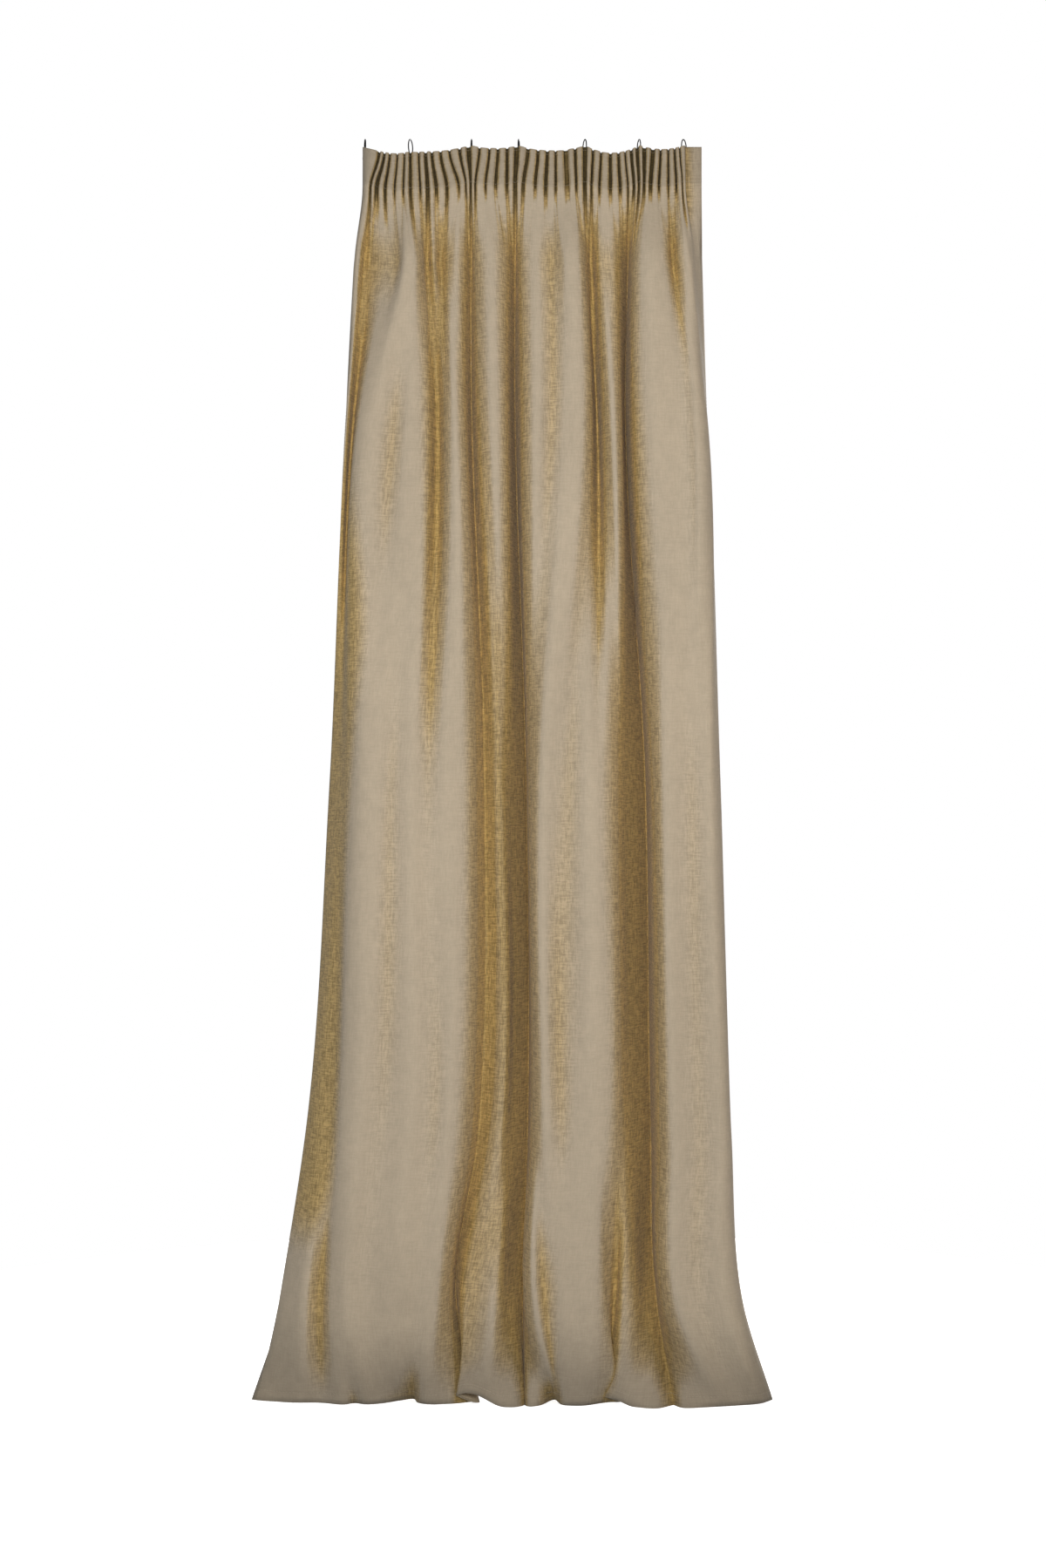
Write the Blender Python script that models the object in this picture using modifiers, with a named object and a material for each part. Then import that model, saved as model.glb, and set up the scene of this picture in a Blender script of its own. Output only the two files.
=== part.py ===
"""Fabric room curtain panel: pencil-pleat cloth, heading tape, cords, wire hooks and rod rings.

Metres. +X runs along the rod, -Y faces the room, +Z is up. The origin is on the rod's axis,
over the middle of the heading.
"""

import math

import bmesh
import bpy
import numpy as np

MM = 0.001
GAP = 0.3 * MM  # clearance between pieces that touch

# Rod rings; the rod itself is not part of the panel
ROD_R = 8 * MM
RING_OUTER_R = 16 * MM
RING_WIRE_R = 1.2 * MM
RING_X = [x * MM for x in (-329.5, -239.8, -119.7, -26.3, 103.7, 210.7, 299.3)]
RING_YAW = [8, -14, 5, -5, 12, 10, -22]  # degrees about the vertical
RING_CENTRE_Z = ROD_R - (RING_OUTER_R - 2 * RING_WIRE_R)
RING_FOOT_Z = RING_CENTRE_Z - (RING_OUTER_R - RING_WIRE_R)  # middle of the wire, lowest point
HOOK_WIRE_R = 0.8 * MM

# Heading tape, with its cords and pocket rows as depths below the heading's top edge
HEADING_DEPTH = 72 * MM
TAPE_THICK = 0.6 * MM
TAPE_TOP = 4 * MM
TAPE_BOTTOM = HEADING_DEPTH - 2 * MM
TAPE_DEPTH = TAPE_BOTTOM - TAPE_TOP
POCKET_ROWS = {
    "upper": TAPE_TOP + 0.30 * TAPE_DEPTH,
    "middle": TAPE_TOP + 0.485 * TAPE_DEPTH,
    "lower": TAPE_TOP + 0.82 * TAPE_DEPTH,
}
POCKET_HEIGHT = 7 * MM
POCKET_THICK = 0.5 * MM
CORD_ROWS = [TAPE_TOP + share * TAPE_DEPTH for share in (0.15, 0.67, 0.94)]
CORD_R = 0.8 * MM

# Cloth
FLAT_WIDTH = 1450 * MM
CLOTH_THICK = 0.8 * MM
HEM_Z = -2482 * MM
HEADING_LEFT = -333 * MM
HEADING_RIGHT = 333 * MM
RING_CLEAR = 0.4 * MM  # between the rings and the heading tape
BACK_CREST_Y = -(RING_OUTER_R + RING_CLEAR + TAPE_THICK + GAP + CLOTH_THICK / 2)
CREST_FLAT = 5 * MM
RING_HEADING_Z = RING_FOOT_Z + 10.9 * MM  # the heading's top edge at a ring
LOW_RING = 1  # this ring's hook is in the upper pocket row, so the heading hangs lower there
LOW_RING_DROP = POCKET_ROWS["middle"] - POCKET_ROWS["upper"]
SAG = [sag * MM for sag in (8, 4, 5, 9.5, 14, 7)]  # heading droop between rings
LEFT_TAB_X = -307 * MM  # the first pleat starts here
PLEATS = [5, 7, 5, 7, 7, 7]  # pleats in each span between rings

# Care label, on the back of the left side hem
LABEL_THICK = 0.3 * MM
LABEL_ALONG = (12 * MM, 42 * MM)  # cloth length from the left edge
LABEL_RISE = (123 * MM, 173 * MM)  # above the hem

# Rows of the cloth, as depths below the heading's top edge
DROP = RING_HEADING_Z - HEM_Z
GATHER = 170 * MM  # the pleats turn into folds over this length
GATHER_DEPTHS = [HEADING_DEPTH + 50 * MM, HEADING_DEPTH + 105 * MM, HEADING_DEPTH + 160 * MM]
BODY_DEPTHS = [share * DROP for share in (0.196, 0.35, 0.508, 0.65, 0.785, 0.86, 0.924, 0.965)]
ROW_DEPTHS = [0.0, HEADING_DEPTH] + GATHER_DEPTHS + BODY_DEPTHS + [DROP]

# Plan sections of the folds at FOLD_LEVELS, in millimetres: four strips of (x, y) points from
# left to right. Each section's depth is then scaled so that it is as long as the cloth is wide.
FOLD_LEVELS = [HEM_Z * share for share in (0.0927, 0.1966, 0.508, 0.7857, 0.9243, 1.0)]
SECTIONS = [
    [
        [(-350, -20), (-341, -36), (-329, 4), (-310, -34), (-285, -48), (-262, -36), (-247, -50),
         (-224, -44), (-207, -12), (-194, -36), (-180, -4), (-166, -34), (-150, -50), (-137, -38),
         (-121, 8)],
        [(-121, 8), (-106, -36), (-80, -52), (-58, -38), (-34, 20)],
        [(-34, 20), (-20, -36), (5, -52), (38, -36), (66, -52), (92, -46), (116, 2), (130, -42),
         (155, -52), (170, -36), (190, 26)],
        [(190, 26), (205, -36), (232, -50), (262, -46), (274, -34), (288, -46), (304, -50),
         (320, -38), (334, -14)],
    ],
    [
        [(-364, -10), (-358, -34), (-347, 0), (-331, -40), (-298, -60), (-264, -52), (-235, -60),
         (-207, -46), (-187, -14), (-171, -42), (-154, -62), (-137, -48), (-120, 8)],
        [(-120, 8), (-104, -42), (-78, -64), (-56, -50), (-34, 30)],
        [(-34, 30), (-18, -40), (8, -62), (40, -50), (68, -62), (95, -64), (113, -44), (126, 8),
         (138, -38), (154, -60), (168, -46), (185, 42)],
        [(185, 42), (200, -40), (231, -62), (266, -60), (300, -56), (317, -62), (333, -48),
         (341, -2), (346, 40)],
    ],
    [
        [(-388, 80), (-405, 72), (-399, 54), (-378, 15), (-359, -28), (-335, -54), (-304, -60),
         (-273, -50), (-236, -62), (-202, -52), (-169, -60), (-126, -46), (-94, 18)],
        [(-94, 18), (-66, -12), (-40, 25), (-11, 80)],
        [(-11, 80), (-3, -30), (20, -63), (71, -50), (109, -64), (150, -46), (185, 10),
         (228, 82)],
        [(228, 82), (236, -25), (257, -62), (309, -50), (347, -62), (366, -36), (372, 15)],
    ],
    [
        [(-434, 80), (-451, 70), (-447, 52), (-426, 18), (-396, -5), (-369, -42), (-340, -56),
         (-293, -46), (-238, -60), (-195, -48), (-164, -58), (-138, -44), (-106, 22)],
        [(-106, 22), (-64, -16), (-39, 22), (-8, 78)],
        [(-8, 78), (3, -30), (27, -62), (59, -50), (89, -58), (123, -64), (157, -48), (195, 8),
         (238, 80)],
        [(238, 80), (250, -25), (274, -62), (326, -48), (369, -62), (386, -45), (393, 5)],
    ],
    [
        [(-494, 70), (-505, 58), (-500, 40), (-477, 8), (-448, -18), (-417, -2), (-395, -28),
         (-364, -50), (-322, -46), (-281, -56), (-233, -52), (-190, -54), (-168, -20),
         (-150, 42)],
        [(-150, 42), (-140, 0), (-113, -14), (-75, -32), (-46, 10), (-18, 62)],
        [(-18, 62), (-11, -30), (9, -62), (27, -46), (64, -62), (111, -64), (142, -46),
         (161, -2), (175, -32), (195, -22), (223, 25), (249, 65)],
        [(249, 65), (261, -20), (288, -60), (335, -50), (386, -60), (408, -45), (417, -20)],
    ],
    [
        [(-556, 40), (-531, 22), (-474, 4), (-410, -4), (-369, -22), (-350, -4), (-326, -18),
         (-293, -8), (-262, 30), (-236, 48), (-224, -2), (-197, -22), (-159, -10), (-128, 4),
         (-112, 12)],
        [(-112, 12), (-104, 4), (-118, -4), (-138, -9), (-150, -16), (-137, -28), (-95, -38),
         (-63, -52), (-32, -50), (-13, -20), (-18, 10)],
        [(-18, 10), (-8, -46), (13, -36), (44, 38), (61, -30), (92, -34), (133, -10), (161, 8),
         (176, 4), (157, -2), (140, -8), (152, -22), (176, -32), (206, -56), (243, -66),
         (278, -30)],
        [(278, -30), (293, -60), (326, -58), (403, -34), (453, -4), (477, 36)],
    ],
]
# Cloth length at points of the top section, so that the folds start from the pleats above them
TOP_PINS = {
    -350: 0, -329: 48, -262: 138, -207: 284, -180: 350, -121: 465, -34: 648, 38: 781, 116: 942,
    190: 1106, 274: 1325, 320: 1424, 334: 1450,
}
TOP_EASE = 0.84  # the rest of that length goes into ripples too small to model
STRIP_SAMPLES = 120


def smooth(t):
    """A soft step from 0 to 1."""
    t = np.clip(t, 0.0, 1.0)
    return t * t * (3 - 2 * t)


def hermite(knots, values, at):
    """Smooth curve through the knots."""
    knots = np.asarray(knots, float)
    slopes = np.gradient(values, knots, axis=0)
    k = int(np.clip(np.searchsorted(knots, at, side="right") - 1, 0, len(knots) - 2))
    h = knots[k + 1] - knots[k]
    t = float(np.clip((at - knots[k]) / h, 0.0, 1.0))
    bend = t * (1 - t) * ((1 - t) * h * slopes[k] - t * h * slopes[k + 1])
    return values[k] + (values[k + 1] - values[k]) * smooth(t) + bend


def heading_z(x):
    """Height of the heading's top edge: it hangs from the hooks and droops between them."""
    anchors = [RING_HEADING_Z - (LOW_RING_DROP if i == LOW_RING else 0) for i in range(len(RING_X))]
    x = np.asarray(x, float)
    z = np.interp(x, RING_X, anchors)
    for left, right, sag in zip(RING_X, RING_X[1:], SAG):
        t = np.clip((x - left) / (right - left), 0.0, 1.0)
        z = z - sag * 4 * t * (1 - t)
    return z


def heading_columns():
    """Cloth length and plan position of each pleat corner, from the left edge to the right."""
    tabs = (LEFT_TAB_X - HEADING_LEFT) + (HEADING_RIGHT - RING_X[-1])
    per_pleat = (FLAT_WIDTH - tabs) / sum(PLEATS)
    flank = per_pleat / 2 - CREST_FLAT
    along = [0.0, LEFT_TAB_X - HEADING_LEFT]
    points = [(HEADING_LEFT, BACK_CREST_Y), (LEFT_TAB_X, BACK_CREST_Y)]
    for left, right, count in zip([LEFT_TAB_X] + RING_X[1:], RING_X[1:], PLEATS):
        pitch = (right - left) / count
        run = pitch / 2 - CREST_FLAT
        front = BACK_CREST_Y - math.sqrt(flank**2 - run**2)
        for n in range(count):
            x = left + n * pitch
            start = along[-1] if n == 0 else along[-1] + CREST_FLAT / 2
            corners = [
                (x + CREST_FLAT / 2, BACK_CREST_Y, CREST_FLAT / 2),
                (x + CREST_FLAT / 2 + run, front, CREST_FLAT / 2 + flank),
                (x + CREST_FLAT * 1.5 + run, front, CREST_FLAT * 1.5 + flank),
                (x + pitch - CREST_FLAT / 2, BACK_CREST_Y, CREST_FLAT * 1.5 + 2 * flank),
            ]
            for cx, cy, length in corners:
                points.append((cx, cy))
                along.append(start + length)
        points.append((right, BACK_CREST_Y))
        along.append(along[-1] + CREST_FLAT / 2)
    points.append((HEADING_RIGHT, BACK_CREST_Y))
    along.append(FLAT_WIDTH)
    return np.array(along), np.array(points)


def curve_through(points, steps=16):
    """Centripetal Catmull-Rom curve through plan points."""
    points = np.asarray(points, float)
    ends = np.vstack([2 * points[0] - points[1], points, 2 * points[-1] - points[-2]])
    out = []
    for i in range(len(points) - 1):
        a, b, c, d = ends[i : i + 4]
        ta, tb = 0.0, np.linalg.norm(b - a) ** 0.5
        tc = tb + np.linalg.norm(c - b) ** 0.5
        td = tc + np.linalg.norm(d - c) ** 0.5
        t = np.linspace(tb, tc, steps, endpoint=False)[:, None]
        a1 = (tb - t) / (tb - ta) * a + (t - ta) / (tb - ta) * b
        a2 = (tc - t) / (tc - tb) * b + (t - tb) / (tc - tb) * c
        a3 = (td - t) / (td - tc) * c + (t - tc) / (td - tc) * d
        b1 = (tc - t) / (tc - ta) * a1 + (t - ta) / (tc - ta) * a2
        b2 = (td - t) / (td - tb) * a2 + (t - tb) / (td - tb) * a3
        out.append((tc - t) / (tc - tb) * b1 + (t - tb) / (tc - tb) * b2)
    out.append(points[-1:])
    return np.vstack(out)


def lengths_along(curve):
    return np.concatenate([[0.0], np.cumsum(np.linalg.norm(np.diff(curve, axis=0), axis=1))])


def resample(curve, count):
    """The curve at equal steps of length."""
    length = lengths_along(curve)
    at = np.linspace(0, length[-1], count)
    return np.column_stack([np.interp(at, length, curve[:, k]) for k in (0, 1)])


def stretched(points, length):
    """The points moved off the straight line between their ends until the curve has this length."""
    share = np.linspace(0, 1, len(points))[:, None]
    line = points[0] * (1 - share) + points[-1] * share
    low, high = 0.0, 6.0
    for _ in range(30):
        scale = (low + high) / 2
        made = np.column_stack([points[:, 0], line[:, 1] + (points[:, 1] - line[:, 1]) * scale])
        low, high = (scale, high) if lengths_along(curve_through(made))[-1] < length else (low, scale)
    return made


def pinned_strips():
    """The top section, with the length of cloth between its pins."""
    points = [p for n, strip in enumerate(SECTIONS[0]) for p in strip[n > 0 :]]
    places = [n for n, p in enumerate(points) if p[0] in TOP_PINS]
    ends = [strip[-1][0] for strip in SECTIONS[0]]
    unit = FLAT_WIDTH / TOP_PINS[points[-1][0]]
    made, current = [], []
    for first, last in zip(places, places[1:]):
        length = (TOP_PINS[points[last][0]] - TOP_PINS[points[first][0]]) * unit * TOP_EASE
        part = stretched(np.array(points[first : last + 1], float) * MM, length)
        current += list(part if not current else part[1:])
        if points[last][0] in ends:
            made.append(curve_through(current))
            current = []
    return made


def solved_sections():
    """Each section's strips, and the cloth length at which each strip starts and ends."""
    strips, marks = [], []
    for section in SECTIONS:
        low, high = 0.05, 2.5
        for _ in range(30):
            scale = (low + high) / 2
            made = []
            for strip in section:
                points = np.array(strip, float) * MM
                points[:, 1] *= scale
                made.append(curve_through(points))
            total = sum(lengths_along(curve)[-1] for curve in made)
            low, high = (scale, high) if total < FLAT_WIDTH else (low, scale)
        if not strips:
            made = pinned_strips()
        strips.append([resample(curve, STRIP_SAMPLES) for curve in made])
        marks.append(np.cumsum([0] + [lengths_along(curve)[-1] for curve in made]))
    return np.array(strips), np.array(marks)


def fold_section(z, along):
    """Plan positions of the folds at height z for these cloth lengths."""
    depths = [-level for level in FOLD_LEVELS]
    strips = hermite(depths, STRIPS, -z)
    marks = hermite(depths, MARKS, -z)
    marks = marks / marks[-1] * FLAT_WIDTH
    number = np.clip(np.searchsorted(marks, along, side="right") - 1, 0, len(marks) - 2)
    share = (along - marks[number]) / (marks[number + 1] - marks[number])
    at = np.clip(share, 0, 1) * (STRIP_SAMPLES - 1)
    low = np.minimum(at.astype(int), STRIP_SAMPLES - 2)
    part = (at - low)[:, None]
    return strips[number, low] * (1 - part) + strips[number, low + 1] * part


STRIPS, MARKS = solved_sections()


def cloth_row(depth, along, pleats):
    """Points across the cloth, this far below the heading's top edge."""
    top = heading_z(pleats[:, 0])
    z = top - depth
    if depth <= HEADING_DEPTH:
        return np.column_stack([pleats, z])
    share = smooth((depth - HEADING_DEPTH) / 0.5)
    z = z * (1 - share) + (RING_HEADING_Z - depth) * share
    level = max(RING_HEADING_Z - depth, HEM_Z)
    folded = fold_section(min(level, FOLD_LEVELS[0]), along)
    blend = smooth((depth - HEADING_DEPTH) / GATHER)
    plan = pleats * (1 - blend) + folded * blend
    if depth >= DROP - MM:
        z = np.full_like(z, HEM_Z)
    return np.column_stack([plan, z])


def plan_normals(plan):
    """Mitred normals of a plan curve, pointing to the rod's side at the heading's crests."""
    step = np.diff(plan, axis=0)
    step /= np.linalg.norm(step, axis=1)[:, None]
    normal = np.column_stack([-step[:, 1], step[:, 0]])
    before = np.vstack([normal[:1], normal])
    after = np.vstack([normal, normal[-1:]])
    mid = before + after
    mid /= np.linalg.norm(mid, axis=1)[:, None]
    return mid / np.maximum(np.sum(mid * after, axis=1), 0.6)[:, None]


def offset(rows, distance):
    """The same rows moved sideways in plan."""
    moved = []
    for row in rows:
        shift = plan_normals(row[:, :2]) * distance
        moved.append(np.column_stack([row[:, :2] + shift, row[:, 2]]))
    return moved


def clear_scene():
    for obj in list(bpy.data.objects):
        bpy.data.objects.remove(obj)


def new_collection(name):
    made = bpy.data.collections.new(name)
    bpy.context.scene.collection.children.link(made)
    return made


def new_material(name, colour, roughness, metallic=0.0):
    made = bpy.data.materials.new(name)
    made.use_nodes = True
    shader = made.node_tree.nodes["Principled BSDF"]
    shader.inputs["Base Color"].default_value = (*colour, 1)
    shader.inputs["Roughness"].default_value = roughness
    shader.inputs["Metallic"].default_value = metallic
    made.diffuse_color = (*colour, 1)
    return made


def sheet(name, rows, thickness, material, collection):
    """An open grid laid through the rows of points, thickened to both sides."""
    columns = len(rows[0])
    grid = bmesh.new()
    bmesh.ops.create_grid(grid, x_segments=columns - 1, y_segments=len(rows) - 1, size=1)
    for vert in grid.verts:
        across = round((vert.co.x + 1) / 2 * (columns - 1))
        down = round((1 - vert.co.y) / 2 * (len(rows) - 1))
        vert.co = rows[down][across]
    mesh = bpy.data.meshes.new(name)
    grid.to_mesh(mesh)
    grid.free()
    mesh.materials.append(material)
    obj = bpy.data.objects.new(name, mesh)
    collection.objects.link(obj)
    solidify = obj.modifiers.new("thickness", "SOLIDIFY")
    solidify.thickness = thickness
    solidify.offset = 0
    return obj


def wire(name, points, radius, x, material, collection):
    """A round wire with filled ends along the points, which are given around x."""
    curve = bpy.data.curves.new(name, "CURVE")
    curve.dimensions = "3D"
    curve.bevel_depth = radius
    curve.bevel_resolution = 2
    curve.use_fill_caps = True
    spline = curve.splines.new("POLY")
    spline.points.add(len(points) - 1)
    for knot, point in zip(spline.points, points):
        knot.co = (*point, 1)
    curve.materials.append(material)
    obj = bpy.data.objects.new(name, curve)
    obj.location = (x, 0, 0)
    collection.objects.link(obj)
    return obj


def build_cloth(material, collection):
    along, pleats = heading_columns()
    rows = [cloth_row(depth, along, pleats) for depth in ROW_DEPTHS]
    return sheet("curtain_panel", rows, CLOTH_THICK, material, collection)


def build_tape(material, collection):
    along, pleats = heading_columns()
    rows = [cloth_row(depth, along, pleats) for depth in (TAPE_TOP, TAPE_BOTTOM)]
    rows = offset(rows, CLOTH_THICK / 2 + GAP + TAPE_THICK / 2)
    return sheet("heading_tape", rows, TAPE_THICK, material, collection)


def tape_back_y():
    return BACK_CREST_Y + CLOTH_THICK / 2 + GAP + TAPE_THICK


def build_pocket_band(row, material, collection):
    """A woven strip behind the tape that bulges over each hook's prongs."""
    depth = POCKET_ROWS[row]
    hooked = {"upper": [LOW_RING], "lower": []}
    used = hooked.get(row, [i for i in range(len(RING_X)) if i != LOW_RING])
    flat = tape_back_y() + GAP
    out = 2 * HOOK_WIRE_R + GAP
    stops = {HEADING_LEFT: flat, RING_X[-1]: flat, HEADING_RIGHT: flat}
    for left, right in zip(RING_X, RING_X[1:]):
        for share in (0.0, 0.25, 0.5, 0.75):
            stops[left + (right - left) * share] = flat
    for i in used:
        for dx in (-8 * MM, -3 * MM, 0.0, 3 * MM, 8 * MM):
            x = max(RING_X[i] + dx, HEADING_LEFT)
            stops[x] = flat + out if abs(dx) < 5 * MM else flat
    if 0 in used:
        stops[HEADING_LEFT] = flat + out
    x = np.array(sorted(stops))
    y = np.array([stops[v] for v in x])
    z = heading_z(x) - depth
    y = y + POCKET_THICK / 2
    rows = [np.column_stack([x, y, z + side * POCKET_HEIGHT / 2]) for side in (1, -1)]
    return sheet(f"pocket_band_{row}", rows, POCKET_THICK, material, collection)


def build_cord(number, depth, material, collection):
    """One gather cord, lying on the back of the tape from edge to edge."""
    y = tape_back_y() + GAP + CORD_R
    xs = np.linspace(HEADING_LEFT + 2 * MM, HEADING_RIGHT - 2 * MM, 41)
    points = [(x, y, heading_z(x) - depth) for x in xs]
    return wire(f"gather_cord_{number}", points, CORD_R, 0, material, collection)


def build_ring(number, x, yaw, material, collection):
    """A closed wire ring round the rod, turned about the vertical through its hook."""
    bpy.ops.mesh.primitive_torus_add(
        major_radius=RING_OUTER_R - RING_WIRE_R,
        minor_radius=RING_WIRE_R,
        major_segments=28,
        minor_segments=8,
        location=(x, 0, RING_CENTRE_Z),
        rotation=(0, math.radians(90), math.radians(yaw)),
    )
    ring = bpy.context.object
    ring.name = f"ring_{number}"
    ring.data.materials.append(material)
    for holder in list(ring.users_collection):
        holder.objects.unlink(ring)
    collection.objects.link(ring)
    return ring


def build_hook(number, x, pocket_row, material, collection):
    """A hairpin of wire: over the ring, down both sides, and up into one pocket of the tape."""
    side = RING_WIRE_R + HOOK_WIRE_R + 0.7 * MM
    rise = RING_WIRE_R + HOOK_WIRE_R + GAP
    half = HOOK_WIRE_R + 0.5 * MM
    prong_y = tape_back_y() + GAP + HOOK_WIRE_R
    leg_y = prong_y + 2 * HOOK_WIRE_R + POCKET_THICK + 2 * GAP
    pocket_z = float(heading_z(x)) - POCKET_ROWS[pocket_row]
    foot_z = pocket_z - POCKET_HEIGHT / 2 - 1.2 * MM
    tip_z = pocket_z + POCKET_HEIGHT / 2 + 2 * MM
    leg = [
        (side, 0, RING_FOOT_Z - 2 * RING_WIRE_R),
        (side + 1.5 * MM, 0.3 * leg_y, RING_FOOT_Z - 7.6 * MM),
        (side + 0.7 * MM, 0.7 * leg_y, RING_FOOT_Z - 14.6 * MM),
        (half + 0.3 * MM, leg_y, pocket_z + POCKET_HEIGHT / 2),
        (half, leg_y, pocket_z),
        (half, leg_y, foot_z),
    ]
    middle_y, bend = (leg_y + prong_y) / 2, (leg_y - prong_y) / 2
    turn = [math.pi * n / 4 for n in (1, 2, 3)]
    leg += [(half, middle_y + bend * math.cos(a), foot_z - bend * math.sin(a)) for a in turn]
    leg += [(half, prong_y, foot_z), (half, prong_y, tip_z)]
    arch = [math.pi * n / 6 for n in range(7)]
    over = [(side * math.cos(a), 0, RING_FOOT_Z + rise * math.sin(a)) for a in arch]
    mirrored = [(-px, py, pz) for px, py, pz in leg]
    points = leg[::-1] + over + mirrored
    return wire(f"hook_{number}", points, HOOK_WIRE_R, x, material, collection)


def build_label(material, collection):
    """A blank sewn-in label on the back of the left side hem, near the bottom."""
    along, pleats = heading_columns()
    cloth = [cloth_row(depth, along, pleats) for depth in ROW_DEPTHS]
    first, last = LABEL_ALONG
    stops = [first] + [a for a in along if first < a < last] + [last]
    top, bottom = DROP - LABEL_RISE[1], DROP - LABEL_RISE[0]
    depths = [top] + [depth for depth in ROW_DEPTHS if top < depth < bottom] + [bottom]
    rows = []
    for depth in depths:
        k = int(np.searchsorted(ROW_DEPTHS, depth, side="right")) - 1
        share = (depth - ROW_DEPTHS[k]) / (ROW_DEPTHS[k + 1] - ROW_DEPTHS[k])
        row = cloth[k] * (1 - share) + cloth[k + 1] * share
        row = offset([row], CLOTH_THICK / 2 + GAP + LABEL_THICK / 2)[0]
        rows.append(np.column_stack([np.interp(stops, along, row[:, n]) for n in range(3)]))
    return sheet("care_label", rows, LABEL_THICK, material, collection)


def main():
    clear_scene()
    parts = new_collection("curtain_panel_assembly")
    linen = new_material("linen_cloth", (0.50, 0.40, 0.27), 0.9)
    tape = new_material("woven_tape", (0.78, 0.72, 0.62), 0.85)
    pocket = new_material("tape_pocket_weave", (0.80, 0.75, 0.66), 0.85)
    cord = new_material("gather_cord", (0.82, 0.80, 0.74), 0.8)
    black = new_material("black_wire", (0.02, 0.02, 0.02), 0.4, 0.8)
    label = new_material("label_satin", (0.85, 0.85, 0.82), 0.5)
    build_cloth(linen, parts)
    build_tape(tape, parts)
    for row in POCKET_ROWS:
        build_pocket_band(row, pocket, parts)
    for number, depth in enumerate(CORD_ROWS, 1):
        build_cord(number, depth, cord, parts)
    for number, (x, yaw) in enumerate(zip(RING_X, RING_YAW), 1):
        pocket_row = "upper" if number - 1 == LOW_RING else "middle"
        build_hook(number, x, pocket_row, black, parts)
        build_ring(number, x, yaw, black, parts)
    build_label(label, parts)


main()
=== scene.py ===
"""Looks for the fabric room curtain panel: linen cloth, heading tape, cords, hooks and rings.

Metres, in the CAD frame: +X runs along the rod, -Y faces the room, +Z is up.
"""

import math

import bpy
import numpy as np
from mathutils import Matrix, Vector


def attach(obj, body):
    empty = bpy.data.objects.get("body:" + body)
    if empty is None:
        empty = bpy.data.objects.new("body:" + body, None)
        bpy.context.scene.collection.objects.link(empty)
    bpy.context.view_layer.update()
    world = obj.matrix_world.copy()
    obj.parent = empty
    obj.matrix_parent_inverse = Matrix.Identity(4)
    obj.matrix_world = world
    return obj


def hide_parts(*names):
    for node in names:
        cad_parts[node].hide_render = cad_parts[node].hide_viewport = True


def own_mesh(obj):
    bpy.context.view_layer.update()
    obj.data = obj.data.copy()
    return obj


MM = 0.001
GAP = 0.3 * MM

# Rings and hooks, as in the CAD
RING_X = [x * MM for x in (-329.5, -239.8, -119.7, -26.3, 103.7, 210.7, 299.3)]
LOW_RING = 1
RING_HEADING_Z = -9.5 * MM
LOW_RING_DROP = 12.2 * MM
SAG = [sag * MM for sag in (8, 4, 5, 9.5, 14, 7)]

# Heading
HEADING_DEPTH = 72 * MM
HEADING_LEFT = -333 * MM
HEADING_RIGHT = 333 * MM
LEFT_TAB_CLOTH = [0.0, 14 * MM, 25 * MM, 33 * MM, 41 * MM]  # the turned edge before the first slit
BACK_CREST_Y = -17.7 * MM
TAPE_TOP = 4 * MM
TAPE_BOTTOM = 70 * MM
TAPE_THICK = 0.6 * MM
POCKET_ROWS = {"upper": 23.8 * MM, "middle": 36 * MM, "lower": 58.1 * MM}
POCKET_HEIGHT = 7 * MM
POCKET_THICK = 0.5 * MM
CORD_ROWS = [13.9 * MM, 48.2 * MM, 66 * MM]
CORD_R = 0.8 * MM
HOOK_WIRE_R = 0.8 * MM

# The slits between the pleats at half the tape's height, in millimetres: read off the photograph
# in pixels and converted by a separate script. LEANS is how far each leans over its height.
SLITS = [
    -307.7, -296.7, -283.6, -266.8, -251.1, -239.9, -221.0, -207.3, -193.5, -174.6, -153.9,
    -136.7, -123.0, -107.5, -86.9, -69.7, -49.0, -31.8, -12.9, 9.5, 28.4, 45.6, 67.9, 85.1,
    104.1, 117.8, 133.3, 153.9, 171.1, 184.9, 196.9, 207.3, 219.3, 234.8, 250.3, 267.5,
    281.2, 291.5, 301.9,
]
LEANS = [
    -16, -14, -8, -5, -2, 0, 3, 3, 8, 11, 17, 11, 4, -8, -7, -4, 0, -2, -9, -5, -3, 0, 3, 2, 0,
    -3, -3, 0, 3, 5, 5, 3, 0, -5, -3, 0, 3, 5, 0,
]
# Slits that stand wider open than the rest
DARK_SLITS = [0, 1, 7, 12, 17, 22, 24, 30, 31, 32, 33]
# How far below the tape each slit can still be seen, in millimetres
FADES = [
    300, 40, 90, 24, 22, 170, 24, 190, 34, 110, 28, 24, 330, 70, 30, 24, 34, 330, 60,
    24, 44, 28, 34, 24, 220, 70, 30, 28, 24, 60, 34, 300, 34, 36, 24, 34, 28, 160,
    130,
]

# Cloth
FLAT_WIDTH = 1450 * MM
CLOTH_THICK = 0.8 * MM
HEM_Z = -2482 * MM
SIDE_HEM = 15 * MM
BOTTOM_HEM = 22 * MM

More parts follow.
